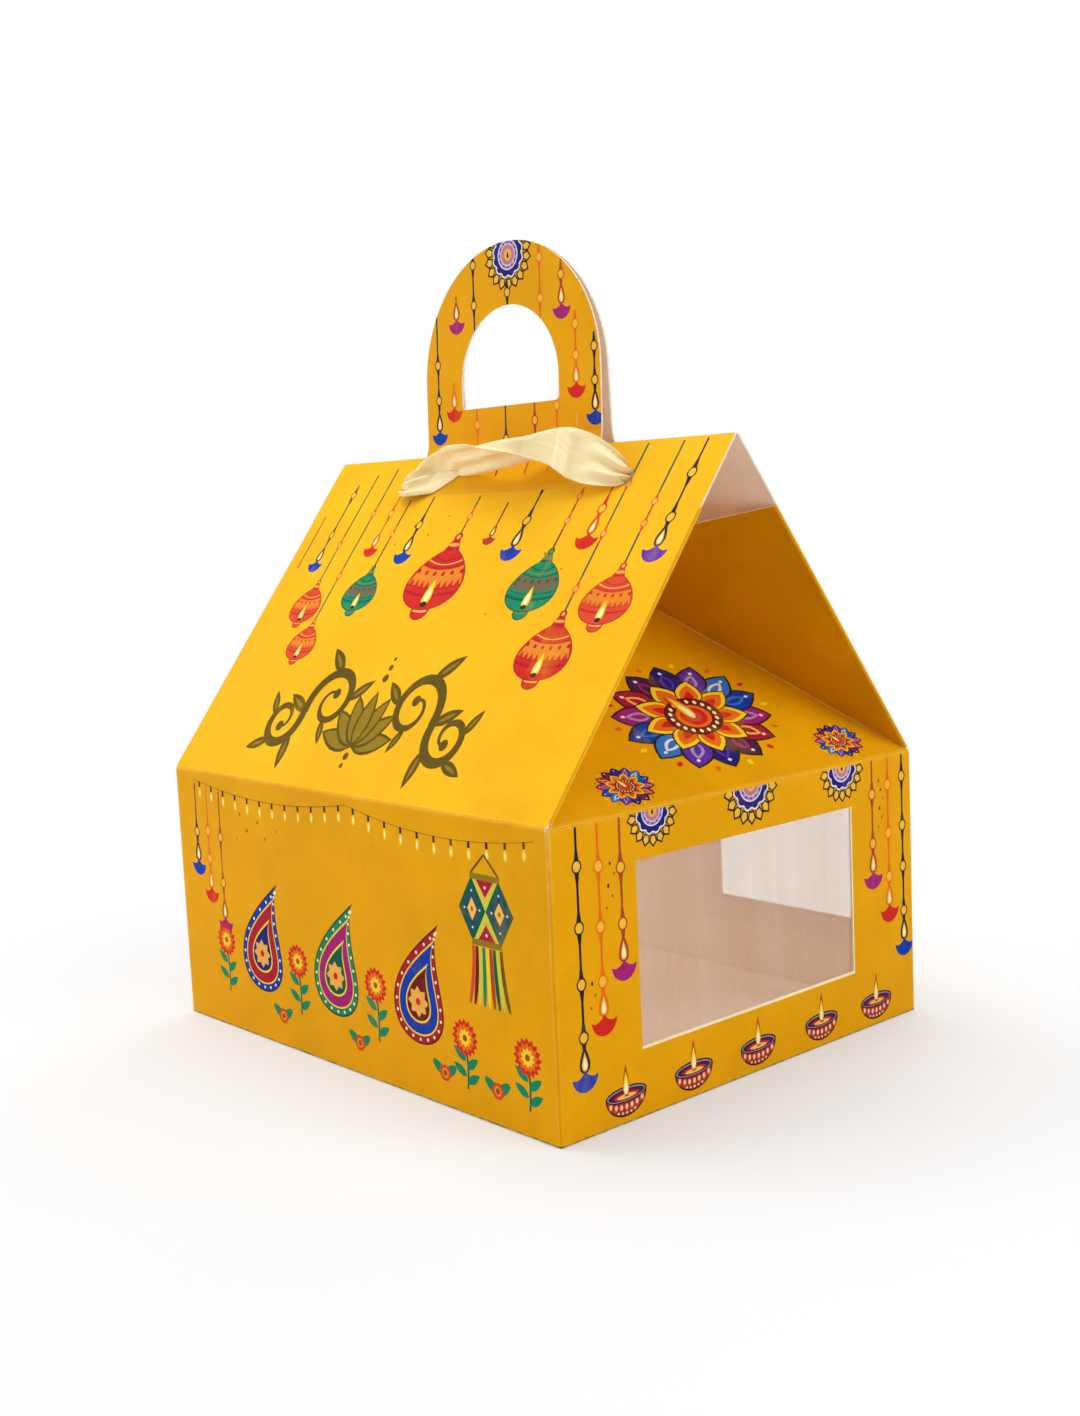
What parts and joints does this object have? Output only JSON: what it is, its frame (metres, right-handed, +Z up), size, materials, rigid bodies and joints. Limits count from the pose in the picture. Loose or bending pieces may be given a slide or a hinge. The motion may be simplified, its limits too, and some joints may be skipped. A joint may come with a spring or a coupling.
{
  "type": "hut-shaped gift carton",
  "caption": "Folding paperboard gift carton shaped like a hut: windows in its ends and back, a gabled roof that opens on its eaves over folding gussets, an arched handle with a finger hole, and a ribbon.",
  "frame": {"origin": "middle of the base, on the surface that the carton stands on", "axes": "+Z up, X along the ridge with the ribbon's longer lobe towards +X, -Y towards the front slope that carries the ribbon"},
  "size_m": [0.152, 0.127, 0.2035],
  "materials": {
    "printed_board": "golden yellow print under a satin varnish outside, bare off-white board inside",
    "clear_film": "clear glossy film",
    "satin": "cream satin weave with a soft sheen"
  },
  "bodies": {
    "carton": {"wall_front": "printed_board", "wall_back": "printed_board", "wall_left": "printed_board", "wall_right": "printed_board", "glue_seam": "printed_board", "base_flap_front": "printed_board", "base_flap_back": "printed_board", "base_flap_left": "printed_board", "base_flap_right": "printed_board", "window_film_left": "clear_film", "window_film_right": "clear_film", "window_film_back": "clear_film"},
    "front_slope": {"roof_front": "printed_board", "ribbon": "satin", "ribbon_knot_left": "satin", "ribbon_knot_right": "satin"},
    "back_slope": {"roof_back": "printed_board"},
    "left_gable": {"gable_flap_left": "printed_board"},
    "right_gable": {"gable_flap_right": "printed_board"},
    "front_left_web": {"gusset_web_front_left": "printed_board"},
    "front_right_web": {"gusset_web_front_right": "printed_board"},
    "back_left_web": {"gusset_web_back_left": "printed_board"},
    "back_right_web": {"gusset_web_back_right": "printed_board"},
    "front_handle": {"handle_front": "printed_board"},
    "back_handle": {"handle_back": "printed_board"}
  },
  "joints": [
    {"name": "roof_front_hinge", "type": "hinge", "parent": "carton", "child": "front_slope", "pos_m": [0, -0.0635, 0.069], "axis": [1, 0, 0], "range_deg": [0, 35.75]},
    {"name": "roof_back_hinge", "type": "hinge", "parent": "carton", "child": "back_slope", "pos_m": [0, 0.0635, 0.069], "axis": [-1, 0, 0], "range_deg": [0, 35.75]},
    {"name": "gable_left_hinge", "type": "hinge", "parent": "carton", "child": "left_gable", "pos_m": [-0.076, 0, 0.069], "axis": [0, -1, 0], "range_deg": [0, 35.1]},
    {"name": "gable_right_hinge", "type": "hinge", "parent": "carton", "child": "right_gable", "pos_m": [0.076, 0, 0.069], "axis": [0, 1, 0], "range_deg": [0, 35.1]},
    {"name": "web_front_left_hinge", "type": "hinge", "parent": "front_slope", "child": "front_left_web", "pos_m": [-0.0755, -0.0631, 0.06869], "axis": [0, 0.6123, 0.7906], "range_deg": [0, 57.5]},
    {"name": "web_front_right_hinge", "type": "hinge", "parent": "front_slope", "child": "front_right_web", "pos_m": [0.0755, -0.0631, 0.06869], "axis": [0, -0.6123, -0.7906], "range_deg": [0, 57.5]},
    {"name": "web_back_left_hinge", "type": "hinge", "parent": "back_slope", "child": "back_left_web", "pos_m": [-0.0755, 0.0631, 0.06869], "axis": [0, 0.6123, -0.7906], "range_deg": [0, 57.5]},
    {"name": "web_back_right_hinge", "type": "hinge", "parent": "back_slope", "child": "back_right_web", "pos_m": [0.0755, 0.0631, 0.06869], "axis": [0, -0.6123, 0.7906], "range_deg": [0, 57.5]},
    {"name": "handle_front_hinge", "type": "hinge", "parent": "front_slope", "child": "front_handle", "pos_m": [0, -0.00839, 0.14017], "axis": [1, 0, 0], "range_deg": [0, 140], "deforming": ["ribbon"]},
    {"name": "handle_back_hinge", "type": "hinge", "parent": "back_slope", "child": "back_handle", "pos_m": [0, 0.00839, 0.14017], "axis": [-1, 0, 0], "range_deg": [0, 140]}
  ],
  "couplings": [
    {"joint": "roof_back_hinge", "follows": "roof_front_hinge", "ratio": 1},
    {"joint": "gable_left_hinge", "follows": "roof_front_hinge", "ratio": 0.9817},
    {"joint": "gable_right_hinge", "follows": "roof_front_hinge", "ratio": 0.9817},
    {"joint": "web_front_left_hinge", "follows": "roof_front_hinge", "ratio": 1.6082},
    {"joint": "web_front_right_hinge", "follows": "roof_front_hinge", "ratio": 1.6082},
    {"joint": "web_back_left_hinge", "follows": "roof_front_hinge", "ratio": 1.6082},
    {"joint": "web_back_right_hinge", "follows": "roof_front_hinge", "ratio": 1.6082}
  ]
}
